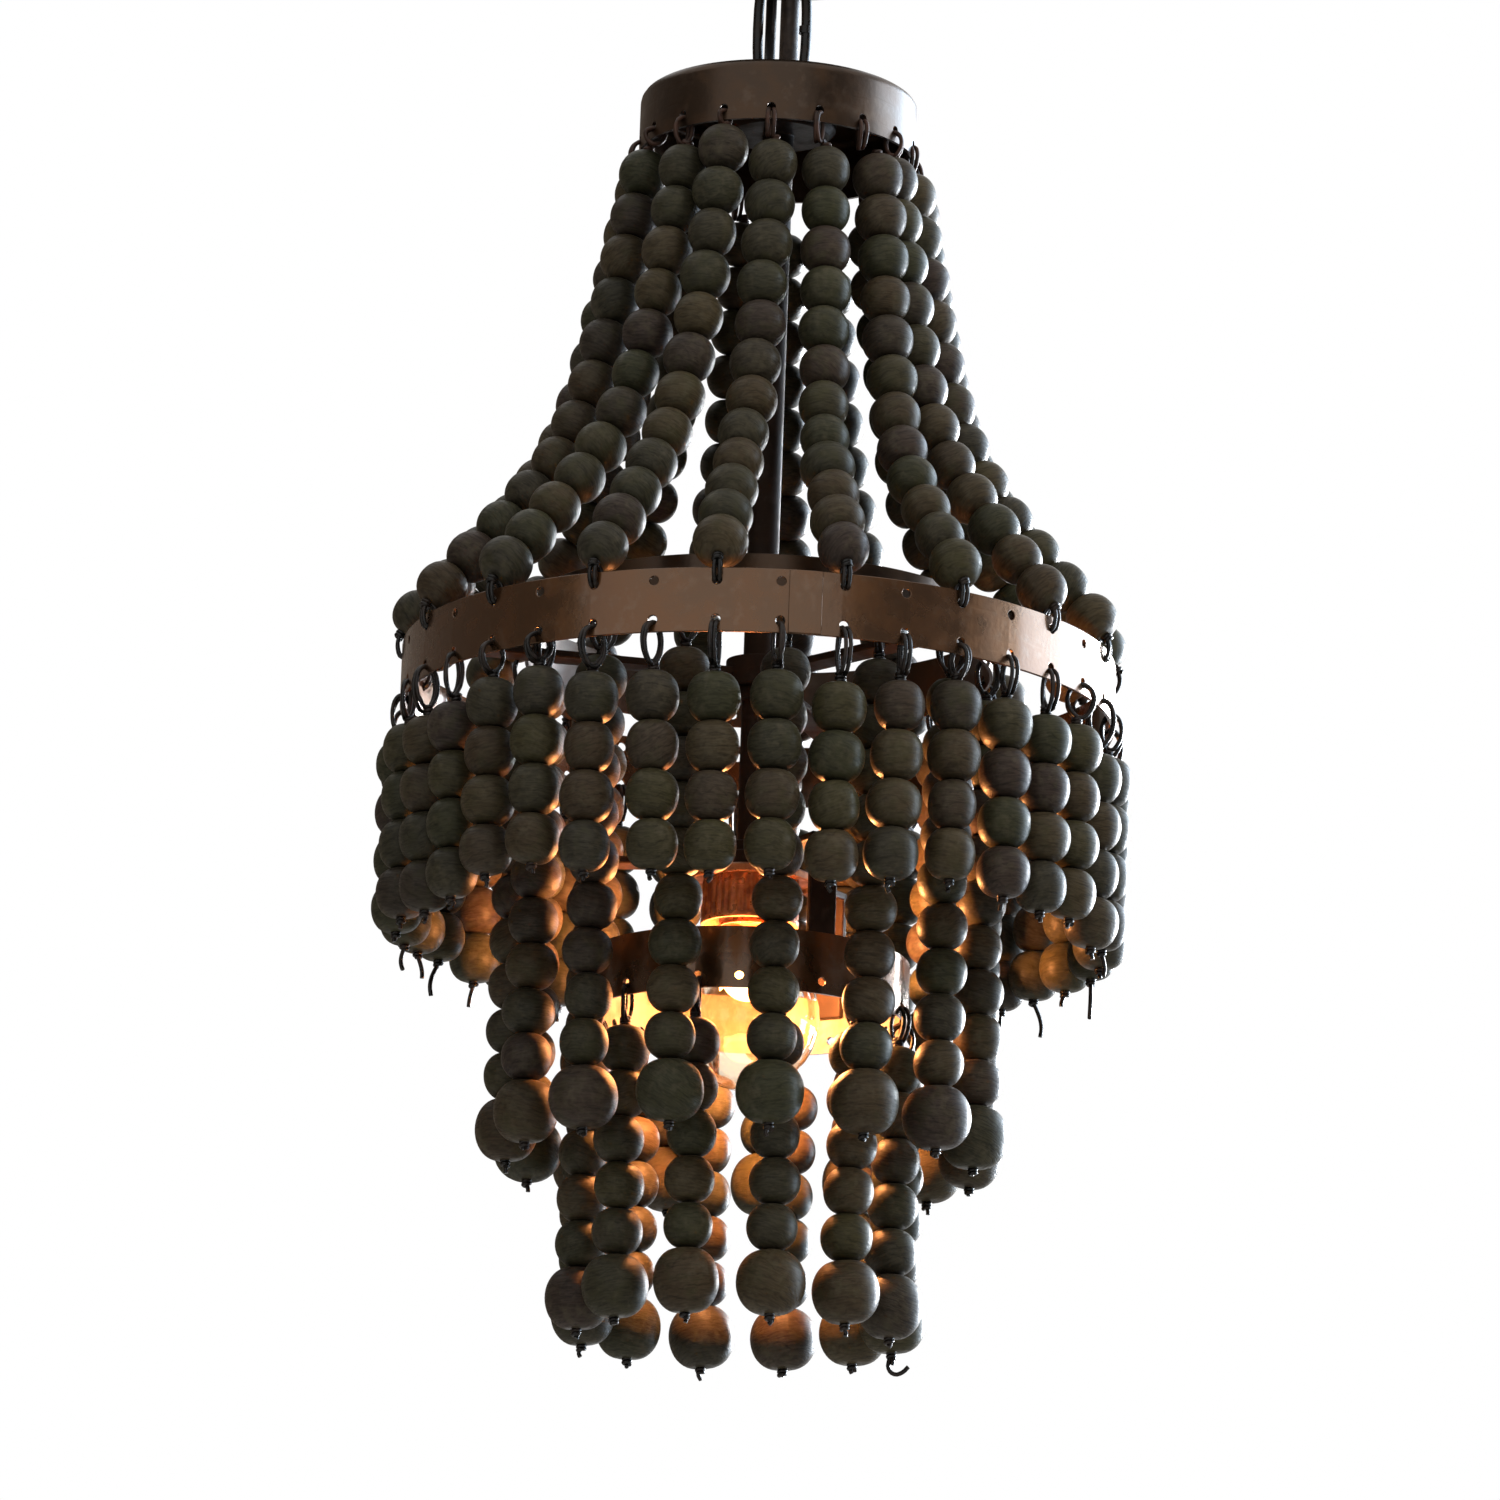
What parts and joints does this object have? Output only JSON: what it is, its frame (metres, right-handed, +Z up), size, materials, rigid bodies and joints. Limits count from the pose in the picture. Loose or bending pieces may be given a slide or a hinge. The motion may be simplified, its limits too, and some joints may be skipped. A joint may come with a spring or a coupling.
{
  "type": "beaded chandelier",
  "caption": "Hanging chandelier with a bell of bead strands from a crown cap to a flat ring, a bead curtain, two inner tiers of strands and one lamp.",
  "frame": {"origin": "middle of the ceiling strap's top face, where it lies against the ceiling", "axes": "+Z up, +X to the right and -Y towards the viewer of the picture"},
  "size_m": [0.309, 0.309, 0.6187],
  "materials": {
    "bronze": "brown bronze, satin, worn",
    "iron": "black, semi-gloss",
    "wood": "matte, grey-brown wash",
    "brown_cord": "satin sheath",
    "black_cord": "gloss sheath",
    "socket": "coppery, fluted",
    "glass": "clear, lit from inside"
  },
  "bodies": {
    "ceiling": {"ceiling_crossbar": "iron", "ceiling_canopy": "bronze", "canopy_loop": "bronze"},
    "link": {"chain_link": "iron", "supply_cord": "brown_cord", "earth_lead": "black_cord"},
    "fixture": {"crown_loop": "bronze", "crown_cap": "bronze", "stem_tube": "bronze", "main_spider": "bronze", "main_ring": "wood", "second_ring": "bronze", "lower_ring": "bronze", "lamp_socket": "socket", "crown_strand_01": "wood", "crown_strand_02": "wood", "crown_strand_03": "wood", "crown_strand_04": "wood", "crown_strand_05": "wood", "crown_strand_06": "wood", "crown_strand_07": "wood", "crown_strand_08": "wood", "crown_strand_09": "wood", "crown_strand_10": "wood", "crown_strand_11": "wood", "crown_strand_12": "wood", "crown_strand_13": "wood", "crown_strand_14": "wood", "crown_strand_15": "wood", "crown_strand_16": "wood", "crown_strand_17": "wood", "crown_strand_18": "wood"},
    "bulb": {"bulb": "glass"},
    "inner_strand_01": {"inner_strand_01": "wood"},
    "inner_strand_02": {"inner_strand_02": "wood"},
    "inner_strand_03": {"inner_strand_03": "wood"},
    "inner_strand_04": {"inner_strand_04": "wood"},
    "inner_strand_05": {"inner_strand_05": "wood"},
    "inner_strand_06": {"inner_strand_06": "wood"},
    "inner_strand_07": {"inner_strand_07": "wood"},
    "inner_strand_08": {"inner_strand_08": "wood"},
    "inner_strand_09": {"inner_strand_09": "wood"},
    "inner_strand_10": {"inner_strand_10": "wood"},
    "inner_strand_11": {"inner_strand_11": "wood"},
    "inner_strand_12": {"inner_strand_12": "wood"},
    "inner_strand_13": {"inner_strand_13": "wood"},
    "inner_strand_14": {"inner_strand_14": "wood"},
    "inner_strand_15": {"inner_strand_15": "wood"},
    "lower_strand_01": {"lower_strand_01": "wood"},
    "lower_strand_02": {"lower_strand_02": "wood"},
    "lower_strand_03": {"lower_strand_03": "wood"},
    "lower_strand_04": {"lower_strand_04": "wood"},
    "lower_strand_05": {"lower_strand_05": "wood"},
    "lower_strand_06": {"lower_strand_06": "wood"},
    "lower_strand_07": {"lower_strand_07": "wood"},
    "lower_strand_08": {"lower_strand_08": "wood"},
    "lower_strand_09": {"lower_strand_09": "wood"},
    "lower_strand_10": {"lower_strand_10": "wood"},
    "lower_strand_11": {"lower_strand_11": "wood"},
    "lower_strand_12": {"lower_strand_12": "wood"}
  },
  "joints": [
    {"name": "link_swing", "type": "hinge", "parent": "ceiling", "child": "link", "pos_m": [0, 0, -0.0369], "axis": [0, 1, 0], "range_deg": [-15, 15], "deforming": ["supply_cord", "earth_lead"]},
    {"name": "fixture_swing", "type": "hinge", "parent": "link", "child": "fixture", "pos_m": [0, 0, -0.0818], "axis": [1, 0, 0], "range_deg": [-12, 12], "deforming": ["supply_cord", "earth_lead"]},
    {"name": "bulb_out", "type": "slide", "parent": "fixture", "child": "bulb", "axis": [0, 0, -1], "range_m": [0, 0.028]},
    {"name": "inner_swing_01", "type": "hinge", "parent": "fixture", "child": "inner_strand_01", "pos_m": [0.01026, -0.09444, -0.3288], "axis": [-0.9942, -0.108, 0], "range_deg": [-1, 10]},
    {"name": "inner_swing_02", "type": "hinge", "parent": "fixture", "child": "inner_strand_02", "pos_m": [0.04779, -0.08211, -0.3288], "axis": [-0.8643, -0.503, 0], "range_deg": [-1, 10]},
    {"name": "inner_swing_03", "type": "hinge", "parent": "fixture", "child": "inner_strand_03", "pos_m": [0.07705, -0.05557, -0.3288], "axis": [-0.585, -0.8111, 0], "range_deg": [-1, 10]},
    {"name": "inner_swing_04", "type": "hinge", "parent": "fixture", "child": "inner_strand_04", "pos_m": [0.09299, -0.01943, -0.3288], "axis": [-0.2045, -0.9789, 0], "range_deg": [-1, 10]},
    {"name": "inner_swing_05", "type": "hinge", "parent": "fixture", "child": "inner_strand_05", "pos_m": [0.09285, 0.02008, -0.3288], "axis": [0.2113, -0.9774, 0], "range_deg": [-1, 10]},
    {"name": "inner_swing_06", "type": "hinge", "parent": "fixture", "child": "inner_strand_06", "pos_m": [0.07666, 0.05611, -0.3288], "axis": [0.5906, -0.807, 0], "range_deg": [-1, 10]},
    {"name": "inner_swing_07", "type": "hinge", "parent": "fixture", "child": "inner_strand_07", "pos_m": [0.04721, 0.08244, -0.3288], "axis": [0.8678, -0.497, 0], "range_deg": [-1, 10]},
    {"name": "inner_swing_08", "type": "hinge", "parent": "fixture", "child": "inner_strand_08", "pos_m": [0.0096, 0.09451, -0.3288], "axis": [0.9949, -0.1011, 0], "range_deg": [-1, 10]},
    {"name": "inner_swing_09", "type": "hinge", "parent": "fixture", "child": "inner_strand_09", "pos_m": [-0.02967, 0.09025, -0.3288], "axis": [0.95, 0.3123, 0], "range_deg": [-1, 10]},
    {"name": "inner_swing_10", "type": "hinge", "parent": "fixture", "child": "inner_strand_10", "pos_m": [-0.06381, 0.07038, -0.3288], "axis": [0.7408, 0.6717, 0], "range_deg": [-1, 10]},
    {"name": "inner_swing_11", "type": "hinge", "parent": "fixture", "child": "inner_strand_11", "pos_m": [-0.08692, 0.03834, -0.3288], "axis": [0.4035, 0.915, 0], "range_deg": [-1, 10]},
    {"name": "inner_swing_12", "type": "hinge", "parent": "fixture", "child": "inner_strand_12", "pos_m": [-0.095, -0.00033, -0.3288], "axis": [-0.0035, 1, 0], "range_deg": [-1, 10]},
    {"name": "inner_swing_13", "type": "hinge", "parent": "fixture", "child": "inner_strand_13", "pos_m": [-0.08665, -0.03894, -0.3288], "axis": [-0.4099, 0.9121, 0], "range_deg": [-1, 10]},
    {"name": "inner_swing_14", "type": "hinge", "parent": "fixture", "child": "inner_strand_14", "pos_m": [-0.06332, -0.07082, -0.3288], "axis": [-0.7455, 0.6665, 0], "range_deg": [-1, 10]},
    {"name": "inner_swing_15", "type": "hinge", "parent": "fixture", "child": "inner_strand_15", "pos_m": [-0.02904, -0.09045, -0.3288], "axis": [-0.9521, 0.3057, 0], "range_deg": [-1, 10]},
    {"name": "lower_swing_01", "type": "hinge", "parent": "fixture", "child": "lower_strand_01", "pos_m": [0.01347, -0.06338, -0.4755], "axis": [-0.9781, -0.2079, 0], "range_deg": [-3.5, 2]},
    {"name": "lower_swing_02", "type": "hinge", "parent": "fixture", "child": "lower_strand_02", "pos_m": [0.04336, -0.04816, -0.4755], "axis": [-0.7431, -0.6691, 0], "range_deg": [-3.5, 2]},
    {"name": "lower_swing_03", "type": "hinge", "parent": "fixture", "child": "lower_strand_03", "pos_m": [0.06163, -0.02002, -0.4755], "axis": [-0.309, -0.9511, 0], "range_deg": [-3.5, 2]},
    {"name": "lower_swing_04", "type": "hinge", "parent": "fixture", "child": "lower_strand_04", "pos_m": [0.06338, 0.01347, -0.4755], "axis": [0.2079, -0.9781, 0], "range_deg": [-3.5, 2]},
    {"name": "lower_swing_05", "type": "hinge", "parent": "fixture", "child": "lower_strand_05", "pos_m": [0.04816, 0.04336, -0.4755], "axis": [0.6691, -0.7431, 0], "range_deg": [-3.5, 2]},
    {"name": "lower_swing_06", "type": "hinge", "parent": "fixture", "child": "lower_strand_06", "pos_m": [0.02002, 0.06163, -0.4755], "axis": [0.9511, -0.309, 0], "range_deg": [-3.5, 2]},
    {"name": "lower_swing_07", "type": "hinge", "parent": "fixture", "child": "lower_strand_07", "pos_m": [-0.01347, 0.06338, -0.4755], "axis": [0.9781, 0.2079, 0], "range_deg": [-3.5, 2]},
    {"name": "lower_swing_08", "type": "hinge", "parent": "fixture", "child": "lower_strand_08", "pos_m": [-0.04336, 0.04816, -0.4755], "axis": [0.7431, 0.6691, 0], "range_deg": [-3.5, 2]},
    {"name": "lower_swing_09", "type": "hinge", "parent": "fixture", "child": "lower_strand_09", "pos_m": [-0.06163, 0.02002, -0.4755], "axis": [0.309, 0.9511, 0], "range_deg": [-3.5, 2]},
    {"name": "lower_swing_10", "type": "hinge", "parent": "fixture", "child": "lower_strand_10", "pos_m": [-0.06338, -0.01347, -0.4755], "axis": [-0.2079, 0.9781, 0], "range_deg": [-3.5, 2]},
    {"name": "lower_swing_11", "type": "hinge", "parent": "fixture", "child": "lower_strand_11", "pos_m": [-0.04816, -0.04336, -0.4755], "axis": [-0.6691, 0.7431, 0], "range_deg": [-3.5, 2]},
    {"name": "lower_swing_12", "type": "hinge", "parent": "fixture", "child": "lower_strand_12", "pos_m": [-0.02002, -0.06163, -0.4755], "axis": [-0.9511, 0.309, 0], "range_deg": [-3.5, 2]}
  ]
}
